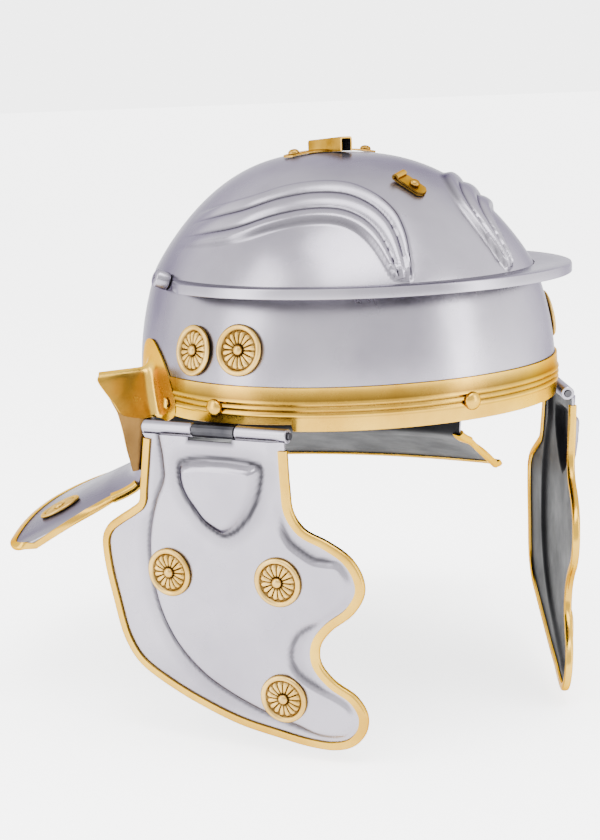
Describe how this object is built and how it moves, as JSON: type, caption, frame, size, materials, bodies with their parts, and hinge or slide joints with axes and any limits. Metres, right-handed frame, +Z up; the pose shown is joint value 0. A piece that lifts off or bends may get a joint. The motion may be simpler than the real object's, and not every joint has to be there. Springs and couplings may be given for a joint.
{
  "type": "helmet",
  "caption": "Steel legionary helmet with a flared neck guard, brow guard, brass trim and rosettes, and two hinged cheek plates.",
  "frame": {"origin": "centre of the bowl's front rim, at the height of the brow band's lower edge", "axes": "+Z up, -Y to the front of the helmet, +X to the wearer's left"},
  "size_m": [0.3086, 0.3048, 0.2716],
  "materials": {
    "steel": "satin polished sheet, darkened inside",
    "brass": "polished sheet",
    "cast_brass": "matte cast"
  },
  "bodies": {
    "shell": {"band_rivet_front": "brass", "band_rivet_left": "brass", "band_rivet_right": "brass", "bowl_rosette_front_left": "cast_brass", "bowl_rosette_front_left_knob": "brass", "bowl_rosette_front_right": "cast_brass", "bowl_rosette_front_right_knob": "brass", "bowl_rosette_rear_left": "cast_brass", "bowl_rosette_rear_left_knob": "brass", "bowl_rosette_rear_right": "cast_brass", "bowl_rosette_rear_right_knob": "brass", "brow_band": "brass", "brow_guard": "steel", "brow_guard_rivet_left": "steel", "brow_guard_rivet_right": "steel", "crest_holder": "brass", "crest_holder_rivet_left": "brass", "crest_holder_rivet_right": "brass", "crest_hook": "brass", "crest_hook_rivet": "brass", "ear_guard_left": "brass", "ear_guard_right": "brass", "ear_rivet_front_left": "brass", "ear_rivet_front_right": "brass", "ear_rivet_rear_left": "brass", "ear_rivet_rear_right": "brass", "hinge_pin_left": "steel", "hinge_pin_right": "steel", "hinge_strap_left": "steel", "hinge_strap_right": "steel", "neck_guard_binding": "brass", "neck_guard_sleeve_left": "brass", "neck_guard_sleeve_right": "brass", "neck_rosette_left": "cast_brass", "neck_rosette_left_knob": "brass", "neck_rosette_right": "cast_brass", "neck_rosette_right_knob": "brass", "skull": "steel"},
    "cheek_right": {"cheek_plate_right": "steel", "cheek_rosette_front_right": "cast_brass", "cheek_rosette_front_right_knob": "brass", "cheek_rosette_low_right": "cast_brass", "cheek_rosette_low_right_knob": "brass", "cheek_rosette_rear_right": "cast_brass", "cheek_rosette_rear_right_knob": "brass", "cheek_trim_right": "brass"},
    "cheek_left": {"cheek_plate_left": "steel", "cheek_rosette_front_left": "cast_brass", "cheek_rosette_front_left_knob": "brass", "cheek_rosette_low_left": "cast_brass", "cheek_rosette_low_left_knob": "brass", "cheek_rosette_rear_left": "cast_brass", "cheek_rosette_rear_left_knob": "brass", "cheek_trim_left": "brass"}
  },
  "joints": [
    {"name": "cheek_hinge_right", "type": "hinge", "parent": "shell", "child": "cheek_right", "pos_m": [-0.09925, -0.0544, -0.001], "axis": [-0.5, 0.866, 0], "range_deg": [-28, 90]},
    {"name": "cheek_hinge_left", "type": "hinge", "parent": "shell", "child": "cheek_left", "pos_m": [0.09925, -0.0544, -0.001], "axis": [-0.5, -0.866, 0], "range_deg": [-28, 90]}
  ]
}
